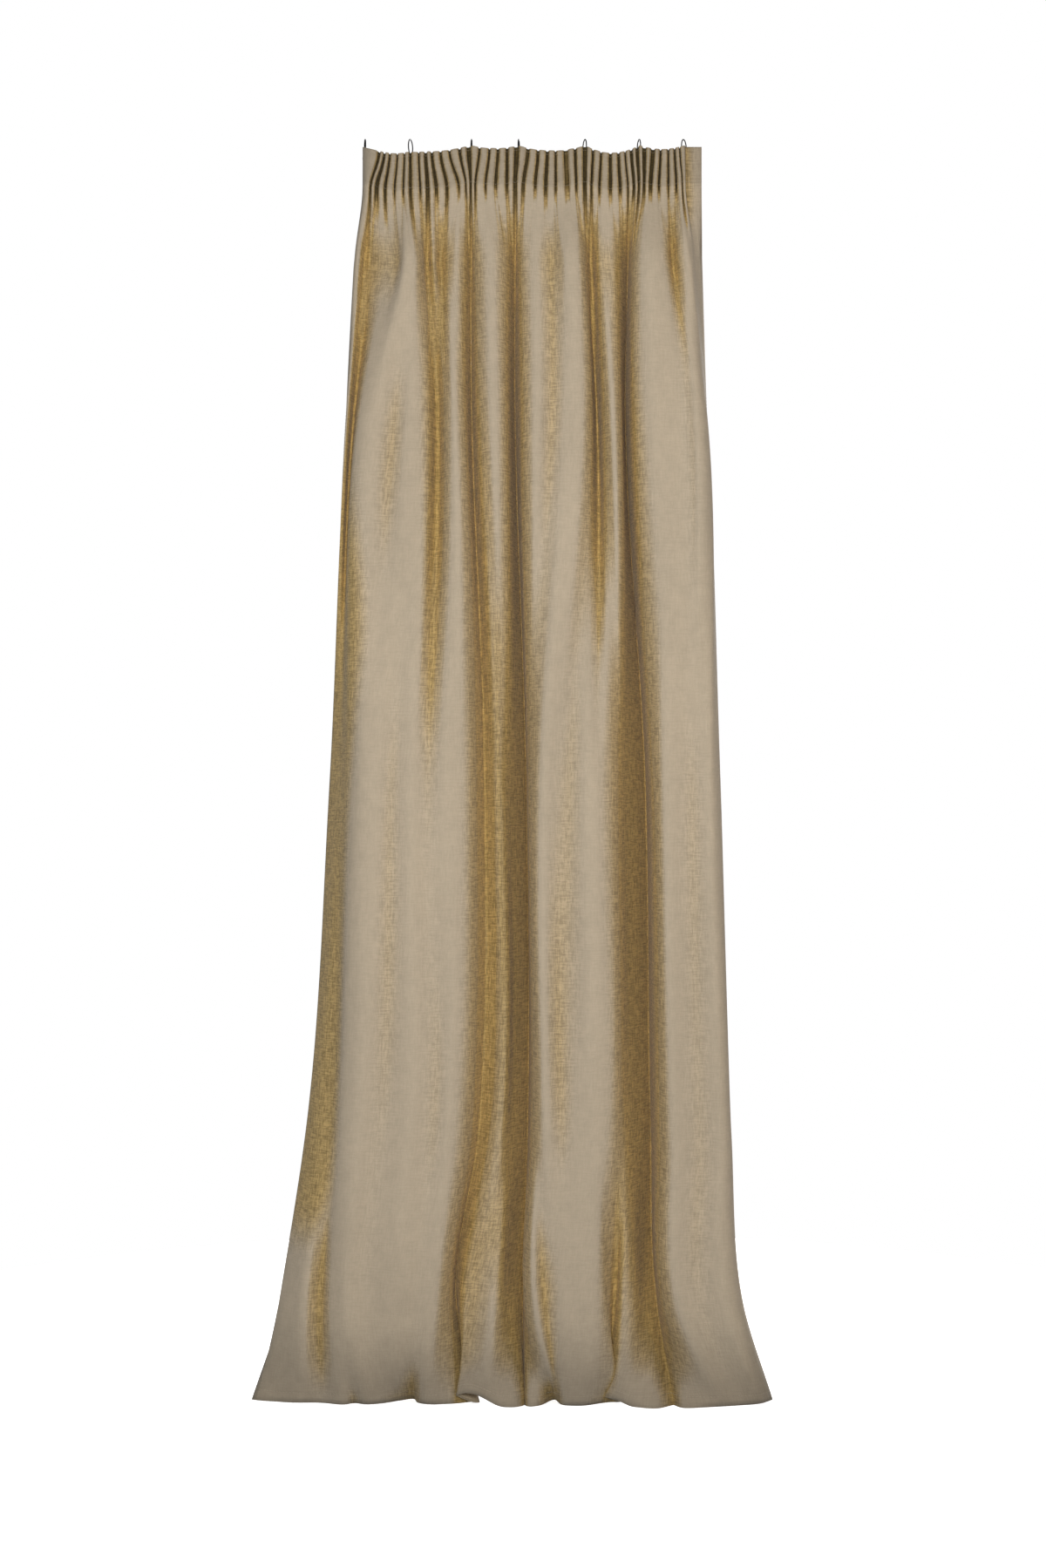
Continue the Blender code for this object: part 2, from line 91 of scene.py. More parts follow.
# Plan sections of the folds: at each height, four strips of (x, y) points from left to right.
# Below the first section, most x values were read off the photograph in pixels and converted by
# a separate script. The depths, y, are chosen.
SECTIONS = {
    -230: [
        [(-350, -20), (-341, -36), (-329, 4), (-310, -34), (-285, -48), (-262, -36), (-247, -50),
         (-224, -44), (-207, -12), (-194, -36), (-180, -4), (-166, -34), (-150, -50), (-137, -38),
         (-121, 8)],
        [(-121, 8), (-106, -36), (-80, -52), (-58, -38), (-34, 20)],
        [(-34, 20), (-20, -36), (5, -52), (38, -36), (66, -52), (92, -46), (116, 2), (130, -42),
         (155, -52), (170, -36), (190, 26)],
        [(190, 26), (205, -36), (232, -50), (262, -46), (274, -34), (288, -46), (304, -50),
         (320, -38), (334, -14)],
    ],
    -488: [
        [(-364, -10), (-358, -34), (-347, 0), (-331, -40), (-298, -60), (-264, -52), (-235, -60),
         (-207, -46), (-187, -14), (-171, -42), (-154, -62), (-137, -48), (-120, 8)],
        [(-120, 8), (-104, -42), (-78, -64), (-56, -50), (-34, 30)],
        [(-34, 30), (-18, -40), (8, -62), (40, -50), (68, -62), (95, -64), (113, -44), (126, 8),
         (138, -38), (154, -60), (168, -46), (185, 42)],
        [(185, 42), (200, -40), (231, -62), (266, -60), (300, -56), (317, -62), (333, -48),
         (341, -2), (346, 40)],
    ],
    -1261: [
        [(-388, 80), (-405, 72), (-399, 54), (-378, 15), (-359, -28), (-335, -54), (-304, -60),
         (-273, -50), (-236, -62), (-202, -52), (-169, -60), (-126, -46), (-94, 18)],
        [(-94, 18), (-66, -12), (-40, 25), (-11, 80)],
        [(-11, 80), (-3, -30), (20, -63), (71, -50), (109, -64), (150, -46), (185, 10),
         (228, 82)],
        [(228, 82), (236, -25), (257, -62), (309, -50), (347, -62), (366, -36), (372, 15)],
    ],
    -1950: [
        [(-434, 80), (-451, 70), (-447, 52), (-426, 18), (-396, -5), (-369, -42), (-340, -56),
         (-293, -46), (-238, -60), (-195, -48), (-164, -58), (-138, -44), (-106, 22)],
        [(-106, 22), (-64, -16), (-39, 22), (-8, 78)],
        [(-8, 78), (3, -30), (27, -62), (59, -50), (89, -58), (123, -64), (157, -48), (195, 8),
         (238, 80)],
        [(238, 80), (250, -25), (274, -62), (326, -48), (369, -62), (386, -45), (393, 5)],
    ],
    -2294: [
        [(-494, 70), (-505, 58), (-500, 40), (-477, 8), (-448, -18), (-417, -2), (-395, -28),
         (-364, -50), (-322, -46), (-281, -56), (-233, -52), (-190, -54), (-168, -20),
         (-150, 42)],
        [(-150, 42), (-140, 0), (-113, -14), (-75, -32), (-46, 10), (-18, 62)],
        [(-18, 62), (-11, -30), (9, -62), (27, -46), (64, -62), (111, -64), (142, -46),
         (161, -2), (175, -32), (195, -22), (223, 25), (249, 65)],
        [(249, 65), (261, -20), (288, -60), (335, -50), (386, -60), (408, -45), (417, -20)],
    ],
    -2482: [
        [(-556, 40), (-531, 22), (-474, 4), (-410, -4), (-369, -22), (-350, -4), (-326, -18),
         (-293, -8), (-262, 30), (-236, 48), (-224, -2), (-197, -22), (-159, -10), (-128, 4),
         (-112, 12)],
        [(-112, 12), (-104, 4), (-118, -4), (-138, -9), (-150, -16), (-137, -28), (-95, -38),
         (-63, -52), (-32, -50), (-13, -20), (-18, 10)],
        [(-18, 10), (-8, -46), (13, -36), (44, 38), (61, -30), (92, -34), (133, -10), (161, 8),
         (176, 4), (157, -2), (140, -8), (152, -22), (176, -32), (206, -56), (243, -66),
         (278, -30)],
        [(278, -30), (293, -60), (326, -58), (403, -34), (453, -4), (477, 36)],
    ],
}
# Cloth length at points of the top section, so that the folds start from the pleats above them
TOP_PINS = {
    -350: 0, -329: 48, -262: 138, -207: 284, -180: 350, -121: 465, -34: 648, 38: 781, 116: 942,
    190: 1106, 274: 1325, 320: 1424, 334: 1450,
}
TOP_EASE = 0.84  # the rest of that length goes into ripples too small to model
STRIP_SAMPLES = 240
TUCK = 2.2  # above 1, the folds keep their depth until close to the floor
REACH = 220 * MM  # how far across the folds a point's shade is judged
SKIM = 0.3 * MM  # cloth that stands out less than this doesn't shut a point in
EDGE_SHADE = 0.62  # strength of the band of painted fold shade down the left edge
EDGE_BAND = 200 * MM
BACK_SHADE = 0.35  # share of the painted fold shade on the rod's side, which is a guess
# Where the hem curls up off the floor: strip, share of it, half width and lift
CURLS = [(1, 0.37, 0.32, 24 * MM), (2, 0.70, 0.12, 13 * MM)]

# Care label, on the back of the left side hem
LABEL_THICK = 0.3 * MM
LABEL_ALONG = (12 * MM, 42 * MM)
LABEL_RISE = (123 * MM, 173 * MM)

# Colours
PALE = (0.487, 0.404, 0.296, 1)
# Painted shade: the next two colours are the darker, more golden linen laid into the folds by how shut
# in a point is (fold_shade)
PAINTED_HALF_SHADE = (0.440, 0.308, 0.126, 1)
PAINTED_DEEP_SHADE = (0.485, 0.328, 0.116, 1)
# Painted shade: the near-black laid into the heading's slits
PAINTED_SLIT_SHADE = (0.085, 0.058, 0.018, 1)
TAPE_COLOUR = (0.66, 0.60, 0.50, 1)
POCKET_COLOUR = (0.72, 0.67, 0.57, 1)
CORD_COLOUR = (0.80, 0.77, 0.70, 1)
THREAD_COLOUR = (0.50, 0.42, 0.30, 1)
FLOOR_COLOUR = (0.93, 0.93, 0.93)

# Sewing and knots
HEM_GAP = 0.15 * MM
HEM_THICK = 0.7 * MM
HEM_STITCH = 5 * MM
HEM_SPACE = 2 * MM
THREAD_R = 0.28 * MM
KNOT_SIZE = 2.4 * MM
BULGE_FLAT = 3.2 * MM  # half width of a pocket strip's bulge over a hook, and of its slope
BULGE_SLOPE = 4.5 * MM

# Studio
CAMERA_PLACE = (-0.018, -5.0, -1.2615)
CAMERA_LENS = 58.2
SENSOR_WIDTH = 36
FLOOR_RADIUS = 1.9


# ---------------------------------------------------------------- shapes of the cloth


def smooth(t):
    """A soft step from 0 to 1."""
    t = np.clip(t, 0.0, 1.0)
    return t * t * (3 - 2 * t)


def heading_z(x):
    """Height of the heading's top edge: it hangs from the hooks and droops between them."""
    anchors = [RING_HEADING_Z - (LOW_RING_DROP if i == LOW_RING else 0) for i in range(len(RING_X))]
    x = np.asarray(x, float)
    z = np.interp(x, RING_X, anchors)
    for left, right, sag in zip(RING_X, RING_X[1:], SAG):
        t = np.clip((x - left) / (right - left), 0.0, 1.0)
        z = z - sag * 4 * t * (1 - t)
    return z


def curve_through(points, steps=16):
    """Centripetal Catmull-Rom curve through plan points."""
    points = np.asarray(points, float)
    ends = np.vstack([2 * points[0] - points[1], points, 2 * points[-1] - points[-2]])
    out = []
    for i in range(len(points) - 1):
        a, b, c, d = ends[i : i + 4]
        ta, tb = 0.0, np.linalg.norm(b - a) ** 0.5
        tc = tb + np.linalg.norm(c - b) ** 0.5
        td = tc + np.linalg.norm(d - c) ** 0.5
        t = np.linspace(tb, tc, steps, endpoint=False)[:, None]
        a1 = (tb - t) / (tb - ta) * a + (t - ta) / (tb - ta) * b
        a2 = (tc - t) / (tc - tb) * b + (t - tb) / (tc - tb) * c
        a3 = (td - t) / (td - tc) * c + (t - tc) / (td - tc) * d
        b1 = (tc - t) / (tc - ta) * a1 + (t - ta) / (tc - ta) * a2
        b2 = (td - t) / (td - tb) * a2 + (t - tb) / (td - tb) * a3
        out.append((tc - t) / (tc - tb) * b1 + (t - tb) / (tc - tb) * b2)
    out.append(points[-1:])
    return np.vstack(out)


def lengths_along(curve):
    return np.concatenate([[0.0], np.cumsum(np.linalg.norm(np.diff(curve, axis=0), axis=1))])


def resample(curve, count):
    """The curve at equal steps of length."""
    length = lengths_along(curve)
    at = np.linspace(0, length[-1], count)
    return np.column_stack([np.interp(at, length, curve[:, k]) for k in (0, 1)])


def stretched(points, length):
    """The points moved off the straight line between their ends until the curve has this length."""
    share = np.linspace(0, 1, len(points))[:, None]
    line = points[0] * (1 - share) + points[-1] * share
    low, high = 0.0, 6.0
    for _ in range(30):
        scale = (low + high) / 2
        made = np.column_stack([points[:, 0], line[:, 1] + (points[:, 1] - line[:, 1]) * scale])
        low, high = (scale, high) if lengths_along(curve_through(made))[-1] < length else (low, scale)
    return made


def pinned_strips():
    """The top section, with the length of cloth between its pins."""
    level = next(iter(SECTIONS))
    points = [p for n, strip in enumerate(SECTIONS[level]) for p in strip[n > 0 :]]
    places = [n for n, p in enumerate(points) if p[0] in TOP_PINS]
    ends = [strip[-1][0] for strip in SECTIONS[level]]
    made, current = [], []
    for first, last in zip(places, places[1:]):
        length = (TOP_PINS[points[last][0]] - TOP_PINS[points[first][0]]) * MM * TOP_EASE
        part = stretched(np.array(points[first : last + 1], float) * MM, length)
        current += list(part if not current else part[1:])
        if points[last][0] in ends:
            made.append(curve_through(current))
            current = []
    return made


def solved_sections():
    """The sections' strips and marks, with their depth scaled so that each is the cloth's width."""
    strips, marks = [], []
    for level in SECTIONS:
        low, high = 0.05, 2.5
        for _ in range(30):
            scale = (low + high) / 2
            made = []
            for strip in SECTIONS[level]:
                points = np.array(strip, float) * MM
                points[:, 1] *= scale
                made.append(curve_through(points))
            total = sum(lengths_along(c)[-1] for c in made)
            low, high = (scale, high) if total < FLAT_WIDTH else (low, scale)
        if not strips:
            made = pinned_strips()
        strips.append([resample(c, STRIP_SAMPLES) for c in made])
        marks.append(np.concatenate([[0], np.cumsum([lengths_along(c)[-1] for c in made])]))
    return np.array(strips), np.array(marks)


def hermite(knots, values, at):
    """Smooth curve through the knots."""
    knots = np.asarray(knots, float)
    slopes = np.gradient(values, knots, axis=0)
    k = int(np.clip(np.searchsorted(knots, at, side="right") - 1, 0, len(knots) - 2))
    h = knots[k + 1] - knots[k]
    t = float(np.clip((at - knots[k]) / h, 0.0, 1.0))
    bend = t * (1 - t) * ((1 - t) * h * slopes[k] - t * h * slopes[k + 1])
    return values[k] + (values[k + 1] - values[k]) * smooth(t) + bend


LEVELS = np.array(list(SECTIONS)) * MM
STRIPS, MARKS = solved_sections()


def fold_section(z, along):
    """Plan positions, strip numbers and shares of the folds at height z."""
    strips = hermite(-LEVELS, STRIPS, -z)
    under = np.clip((LEVELS[-2] - z) / (LEVELS[-2] - LEVELS[-1]), 0, 1)
    if under > 0:
        late = LEVELS[-2] - (LEVELS[-2] - LEVELS[-1]) * under**TUCK
        strips[:, :, 1] = hermite(-LEVELS, STRIPS, -late)[:, :, 1]
    marks = hermite(-LEVELS, MARKS, -z)
    marks = marks / marks[-1] * FLAT_WIDTH
    number = np.clip(np.searchsorted(marks, along, side="right") - 1, 0, 3)
    share = (along - marks[number]) / (marks[number + 1] - marks[number])
    at = np.clip(share, 0, 1) * (STRIP_SAMPLES - 1)
    low = np.minimum(at.astype(int), STRIP_SAMPLES - 2)
    part = (at - low)[:, None]
    points = strips[number, low] * (1 - part) + strips[number, low + 1] * part
    return points, number, share


def heading_profile():
    """Cloth length, pleat number and (share of pitch, depth) of each column of the heading."""
    rng = np.random.default_rng(11)
    tabs = LEFT_TAB_CLOTH[-1] + (HEADING_RIGHT - SLITS[-1] * MM)
    widths = rng.uniform(0.09, 0.17, len(SLITS))
    widths[DARK_SLITS] = 0.23
    per_pleat = (FLAT_WIDTH - tabs) / (len(SLITS) - 1)
    tab = zip(LEFT_TAB_CLOTH, (0.0, 0.45, 0.8, 0.92), (0.0, 8 * MM, 14 * MM, 6 * MM))
    columns = [(length, -1, share, depth) for length, share, depth in tab]
    start = LEFT_TAB_CLOTH[-1]
    for pleat in range(len(SLITS) - 1):
        pitch = (SLITS[pleat + 1] - SLITS[pleat]) * MM
        tilt = rng.uniform(-0.07, 0.07)
        a, b = widths[pleat], widths[pleat + 1]
        crest = [
            (0.0, 0.0), (a, 0.25), (a, 0.66), (a + 0.14 + tilt / 2, 0.91), (0.5 + tilt, 1.0),
            (0.86 - b + tilt / 2, 0.91), (1 - b, 0.66), (1 - b, 0.25), (1.0, 0.0),
        ]
        low, high = 0.0, 40 * MM
        for _ in range(24):
            depth = (low + high) / 2
            xy = np.array([(a * pitch, b * depth) for a, b in crest])
            length = lengths_along(xy)
            low, high = (depth, high) if length[-1] < per_pleat else (low, depth)
        for (a, b), run in list(zip(crest, length))[:-1]:
            columns.append((start + run, pleat, a, b * depth))
        start += per_pleat
    last = len(SLITS) - 1
    columns.append((start, last, 0.0, 0.0))
    columns.append((start + 0.5 * (FLAT_WIDTH - start), last, 0.5, 0.0))
    columns.append((FLAT_WIDTH, last, 1.0, 0.0))
    return [np.array(c) for c in zip(*columns)]


ALONG, PLEAT, SHARE, DEPTH = heading_profile()


def slit_lines(depth):
    """X of each slit at this depth below the heading's top edge."""
    down = min(depth, HEADING_DEPTH + 10 * MM) / HEADING_DEPTH
    lean = (smooth(down * 0.9) - 0.43) * 1.15 * np.array(LEANS)
    return (np.array(SLITS) + lean) * MM


def heading_plan(depth):
    """Plan of the gathered heading at this depth, in ALONG's columns."""
    slits = slit_lines(depth)
    edges = np.concatenate([[HEADING_LEFT], slits, [HEADING_RIGHT]])
    number = PLEAT.astype(int) + 1
    x = edges[number] + (edges[number + 1] - edges[number]) * SHARE
    sewn = min(abs(depth - row) for row in (TAPE_TOP, 36 * MM, TAPE_BOTTOM))
    pinch = 1 - 0.16 * math.exp(-((sewn / (4 * MM)) ** 2))
    return np.column_stack([x, BACK_CREST_Y - DEPTH * pinch])


def fade_lengths():
    """How far down each column's pleat still shows."""
    fades = np.array(FADES, float) * MM
    number = np.clip(PLEAT.astype(int), 0, len(FADES) - 1)
    after = np.minimum(number + 1, len(FADES) - 1)
    near = smooth(SHARE)
    return fades[number] * (1 - near) + fades[after] * near


FADE = fade_lengths()


def undulation(along, z):
    """Small soft ripples of the hanging cloth, stronger near the heading and near the floor."""
    rng = np.random.default_rng(5)
    total = np.zeros_like(along)
    for _ in range(12):
        wave = rng.uniform(18, 95)
        drift = rng.uniform(-3.2, 3.2)
        phase = rng.uniform(0, 2 * math.pi)
        slow = rng.uniform(1.2, 5.0)
        turn = rng.uniform(0, 2 * math.pi)
        total += np.sin(wave * along + drift * z + phase) * math.sin(slow * z + turn) / math.sqrt(wave)
    floor = 1 + 1.0 * smooth((-2.2 - z) / 0.25)
    return total * 3.2 * MM * floor


def cloth_row(depth):
    """Points across the cloth, this far below the heading's top edge."""
    plan = heading_plan(depth)
    top = heading_z(plan[:, 0])
    z = top - depth
    if depth <= HEADING_DEPTH:
        return np.column_stack([plan, z])
    below = depth - HEADING_DEPTH
    settle = smooth(below / 0.5)
    z = z * (1 - settle) + (RING_HEADING_Z - depth) * settle
    level = max(RING_HEADING_Z - depth, HEM_Z)
    folds, number, share = fold_section(min(level, LEVELS[0]), ALONG)
    middle = BACK_CREST_Y - 8 * MM
    swell = 1 + 0.25 * smooth(below / 0.04)
    relief = (plan[:, 1] - middle) * swell * np.exp(-(below / (0.55 * FADE)) ** 1.5)
    gather = smooth(below / 0.17)
    x = plan[:, 0] * (1 - gather) + folds[:, 0] * gather
    y = middle + relief + (folds[:, 1] - middle) * smooth(below / 0.16)
    y += undulation(ALONG, level) * smooth(below / 0.25)
    lift = np.zeros_like(x)
    for strip, centre, half, rise in CURLS:
        near = np.where(number == strip, np.abs(share - centre) / half, 9.0)
        lift += rise * (1 - smooth(near)) * (1 - smooth((level - HEM_Z) / 0.11))
    return np.column_stack([x, y, z + lift])


def row_depths():
    """Depths of the cloth's rows, closer where the shape changes quickly."""
    drop = RING_HEADING_Z - HEM_Z
    stops = [0.0, TAPE_TOP, 14 * MM, 25 * MM, 36 * MM, 48 * MM, 60 * MM, TAPE_BOTTOM - 5 * MM]
    stops += [TAPE_BOTTOM, HEADING_DEPTH + 4 * MM]
    steps = [(0.30, 9 * MM), (0.60, 14 * MM), (2.22, 24 * MM), (drop, 12 * MM)]
    for end, step in steps:
        count = max(1, round((end - stops[-1]) / step))
        stops += list(np.linspace(stops[-1], end, count + 1)[1:])
    return stops


def grid_rows():
    rows = np.array([cloth_row(depth) for depth in row_depths()])
    rows[:, :, 2] = np.maximum(rows[:, :, 2], HEM_Z)
    return rows


# ---------------------------------------------------------------- mesh helpers


def new_object(name, mesh):
    obj = bpy.data.objects.new(name, mesh)
    bpy.context.scene.collection.objects.link(obj)
    return obj


def grid_mesh(name, rows, places=None):
    """An open quad grid through the rows, with cloth coordinates kept on its points."""
    rows = np.array(rows)
    down, across = rows.shape[:2]
    verts = rows.reshape(-1, 3)
    index = np.arange(down * across).reshape(down, across)
    corners = [index[:-1, :-1], index[1:, :-1], index[1:, 1:], index[:-1, 1:]]
    faces = np.stack([c.reshape(-1) for c in corners], axis=1)
    mesh = bpy.data.meshes.new(name)
    mesh.from_pydata(verts.tolist(), [], faces.tolist())
    mesh.shade_smooth()
    if places is not None:
        store_places(mesh, np.array(places).reshape(-1, 2))
    return mesh


def store_places(mesh, places):
    layer = mesh.attributes.new("cloth_place", "FLOAT_VECTOR", "POINT")
    flat = np.column_stack([places, np.zeros(len(places))]).astype(np.float32)
    layer.data.foreach_set("vector", flat.ravel())


def apply_modifiers(obj):
    """Replaces the object's mesh with its evaluated shape."""
    graph = bpy.context.evaluated_depsgraph_get()
    mesh = bpy.data.meshes.new_from_object(obj.evaluated_get(graph))
    obj.modifiers.clear()
    obj.data = mesh
    obj.data.shade_smooth()


def thicken(obj, thickness, offset=0.0):
    solid = obj.modifiers.new("thickness", "SOLIDIFY")
    solid.thickness = thickness
    solid.offset = offset
    apply_modifiers(obj)


def row_normals(row):
    """Plan normals of a row, to the rod's side at the crests."""
    step = np.gradient(row[:, :2], axis=0)
    step /= np.maximum(np.linalg.norm(step, axis=1), 1e-9)[:, None]
    return np.column_stack([-step[:, 1], step[:, 0]])


def offset_rows(rows, distance):
    moved = []
    for row in rows:
        shift = row_normals(row) * distance
        moved.append(np.column_stack([row[:, :2] + shift, row[:, 2]]))
    return moved


def tube(name, paths, radius, sides=6):
    """Round tubes with closed ends along open paths, in one mesh."""
    verts, faces = [], []
    for path in paths:
        path = np.asarray(path, float)
        step = np.gradient(path, axis=0)
        step /= np.maximum(np.linalg.norm(step, axis=1), 1e-9)[:, None]
        side = np.cross(step, (0.13, 0.21, 0.97))
        side /= np.maximum(np.linalg.norm(side, axis=1), 1e-9)[:, None]
        up = np.cross(side, step)
        first = len(verts)
        for k in range(len(path)):
            for n in range(sides):
                a = 2 * math.pi * n / sides
                verts.append(path[k] + radius * (math.cos(a) * side[k] + math.sin(a) * up[k]))
        for k in range(len(path) - 1):
            for n in range(sides):
                a = first + k * sides + n
                b = first + k * sides + (n + 1) % sides
                faces.append((a, b, b + sides, a + sides))
        last = first + (len(path) - 1) * sides
        faces.append(tuple(range(first + sides - 1, first - 1, -1)))
        faces.append(tuple(range(last, last + sides)))
    mesh = bpy.data.meshes.new(name)
    mesh.from_pydata([tuple(v) for v in verts], [], faces)
    mesh.shade_smooth()
    return new_object(name, mesh)


# ---------------------------------------------------------------- materials


class Nodes:
    """Short calls for building one material's node tree."""

    def __init__(self, name):
        self.material = bpy.data.materials.new(name)
        self.material.use_nodes = True
        self.tree = self.material.node_tree
        self.tree.nodes.clear()
        self.out = self.add("ShaderNodeOutputMaterial")

    def add(self, kind, inputs=None, **settings):
        made = self.tree.nodes.new(kind)
        for key, value in settings.items():
            setattr(made, key, value)
        for key, value in (inputs or {}).items():
            if isinstance(value, bpy.types.NodeSocket):
                self.tree.links.new(value, made.inputs[key])
            else:
                made.inputs[key].default_value = value
        return made

    def maths(self, kind, a, b):
        return self.add("ShaderNodeMath", {0: a, 1: b}, operation=kind).outputs[0]

    def noise(self, place, stretch, detail=2.0, roughness=0.5):
        """Noise of about one feature per unit after stretching the place."""
        moved = self.add("ShaderNodeVectorMath", {0: place, 1: stretch}, operation="MULTIPLY")
        made = self.add(
            "ShaderNodeTexNoise",
            {"Vector": moved.outputs[0], "Scale": 1.0, "Detail": detail, "Roughness": roughness},
        )
        return made.outputs["Fac"]

    def ramp(self, value, low, high, out_low=0.0, out_high=1.0):
        made = self.add(
            "ShaderNodeMapRange",
            {"Value": value, "From Min": low, "From Max": high, "To Min": out_low, "To Max": out_high},
            interpolation_type="SMOOTHSTEP",
        )
        return made.outputs["Result"]

    def mix(self, factor, a, b, blend="MIX"):
        made = self.add("ShaderNodeMix", {0: factor, 6: a, 7: b}, data_type="RGBA", blend_type=blend)
        return made.outputs[2]


def linen_material(name):
    """Plain-weave linen: fine threads, long slubs both ways, with painted shade: darker and more golden
    in the folds, near-black in the heading's slits, darker across the heading and near the floor.
    """
    n = Nodes(name)
    place = n.add("ShaderNodeAttribute", attribute_name="cloth_place").outputs["Vector"]
    fold = n.add("ShaderNodeAttribute", attribute_name="fold_shade").outputs["Fac"]
    warp = n.noise(place, (780, 70, 1), 2.5, 0.6)
    weft = n.noise(place, (80, 850, 1), 2.5, 0.6)
    warp_wide = n.noise(place, (290, 30, 1), 2.0, 0.6)
    weft_wide = n.noise(place, (34, 310, 1), 2.0, 0.6)
    mottle = n.noise(place, (48, 34, 1), 3.0, 0.55)
    drift = n.noise(place, (5, 2.2, 1), 2.0, 0.5)
    fine = n.maths("ADD", warp, weft)
    wide = n.maths("ADD", warp_wide, weft_wide)
    threads = n.maths("ADD", n.maths("MULTIPLY", fine, 0.5), n.maths("MULTIPLY", wide, 0.5))
    contrast = n.ramp(threads, 0.84, 1.16)
    # Painted shade: the colour turns darker and more golden as fold_shade rises, deep in the folds
    body = n.mix(n.ramp(fold, 0.22, 0.60), PALE, PAINTED_HALF_SHADE)
    body = n.mix(n.ramp(fold, 0.72, 0.95), body, PAINTED_DEEP_SHADE)
    down = n.add("ShaderNodeSeparateXYZ", {0: place}).outputs["Y"]
    # Painted shade: near-black where fold_shade is high, in the heading's slits, fading out between 70
    # and 170 mm down
    slit = n.maths("MULTIPLY", n.ramp(fold, 0.64, 0.97), n.ramp(down, 0.07, 0.17, 1.0, 0.0))
    body = n.mix(slit, body, PAINTED_SLIT_SHADE)
    # Painted shade: the heading band, down to about 70 mm, is darkened to 0.83
    heading = n.ramp(down, 0.066, 0.078, 0.83, 1.0)
    # Painted shade: the cloth darkens towards the floor, to 0.66 at the hem
    painted_floor_shade = n.ramp(down, 2.24, 2.47, 1.0, 0.66)
    # The weave's contrast grows with the painted fold shade, its dark threads darker in the folds
    weave_low = n.ramp(fold, 0.15, 0.55, 0.95, 0.62)
    weave_high = n.ramp(fold, 0.15, 0.55, 1.045, 1.32)
    span = n.maths("SUBTRACT", weave_high, weave_low)
    value = n.maths("ADD", weave_low, n.maths("MULTIPLY", contrast, span))
    value = n.maths("MULTIPLY", value, n.ramp(mottle, 0.25, 0.75, 0.965, 1.035))
    value = n.maths("MULTIPLY", value, n.ramp(drift, 0.25, 0.75, 0.965, 1.035))
    value = n.maths("MULTIPLY", value, n.maths("MULTIPLY", heading, painted_floor_shade))
    tint = n.add("ShaderNodeCombineColor", {0: value, 1: value, 2: value}).outputs[0]
    colour = n.mix(1.0, body, tint, "MULTIPLY")
    height = n.maths("ADD", fine, n.maths("MULTIPLY", wide, 1.2))
    bump = n.add("ShaderNodeBump", {"Strength": 0.5, "Distance": 0.0007, "Height": height})
    rough = n.ramp(threads, 0.8, 1.2, 0.95, 0.8)
    front = n.add(
        "ShaderNodeBsdfPrincipled",
        {
            "Base Color": colour,
            "Roughness": rough,
            "Normal": bump.outputs[0],
            "Sheen Weight": 0.12,
            "Sheen Roughness": 0.5,
            "Specular IOR Level": 0.18,
        },
    )
    through = n.add("ShaderNodeBsdfTranslucent", {"Color": colour, "Normal": bump.outputs[0]})
    both = n.add("ShaderNodeMixShader", {0: 0.14, 1: front.outputs[0], 2: through.outputs[0]})
    n.tree.links.new(both.outputs[0], n.out.inputs["Surface"])
    return n.material


def tape_material(name, base, ribs):
    """Woven cotton tape: close ribs across, slightly uneven, with a soft nap."""
    n = Nodes(name)
    place = n.add("ShaderNodeAttribute", attribute_name="cloth_place").outputs["Vector"]
    warp = n.noise(place, (1400, 60, 1), 2.0, 0.5)
    rib = n.noise(place, (30, ribs, 1), 1.5, 0.5)
    soil = n.noise(place, (22, 22, 1), 3.0, 0.6)
    weave = n.maths("ADD", warp, rib)
    worn = n.ramp(soil, 0.3, 0.7, 0.94, 1.03)
    value = n.maths("MULTIPLY", n.ramp(weave, 0.75, 1.25, 0.80, 1.10), worn)
    tint = n.add("ShaderNodeCombineColor", {0: value, 1: value, 2: value}).outputs[0]
    colour = n.mix(1.0, base, tint, "MULTIPLY")
    bump = n.add("ShaderNodeBump", {"Strength": 0.6, "Distance": 0.0004, "Height": weave})
    shader = n.add(
        "ShaderNodeBsdfPrincipled",
        {
            "Base Color": colour,
            "Roughness": n.ramp(weave, 0.8, 1.2, 0.92, 0.75),
            "Normal": bump.outputs[0],
            "Sheen Weight": 0.15,
            "Sheen Roughness": 0.45,
            "Specular IOR Level": 0.25,
        },
    )
    n.tree.links.new(shader.outputs[0], n.out.inputs["Surface"])
    return n.material


def cord_material(name, base):
    """Twisted cord: slanting strands from a banded wave with uneven shade."""
    n = Nodes(name)
    place = n.add("ShaderNodeTexCoord").outputs["Object"]
    wave = n.add(
        "ShaderNodeTexWave",
        {"Vector": place, "Scale": 420.0, "Distortion": 1.5, "Detail": 1.0},
        wave_type="BANDS",
        bands_direction="DIAGONAL",
    ).outputs["Fac"]
    shade = n.noise(place, (160, 160, 160), 2.0, 0.6)
    value = n.maths("MULTIPLY", n.ramp(wave, 0.0, 1.0, 0.68, 1.04), n.ramp(shade, 0.3, 0.7, 0.92, 1.04))
    tint = n.add("ShaderNodeCombineColor", {0: value, 1: value, 2: value}).outputs[0]
    bump = n.add("ShaderNodeBump", {"Strength": 0.7, "Distance": 0.0004, "Height": wave})
    shader = n.add(
        "ShaderNodeBsdfPrincipled",
        {
            "Base Color": n.mix(1.0, base, tint, "MULTIPLY"),
            "Roughness": n.ramp(shade, 0.3, 0.7, 0.7, 0.85),
            "Normal": bump.outputs[0],
            "Sheen Weight": 0.1,
        },
    )
    n.tree.links.new(shader.outputs[0], n.out.inputs["Surface"])
    return n.material


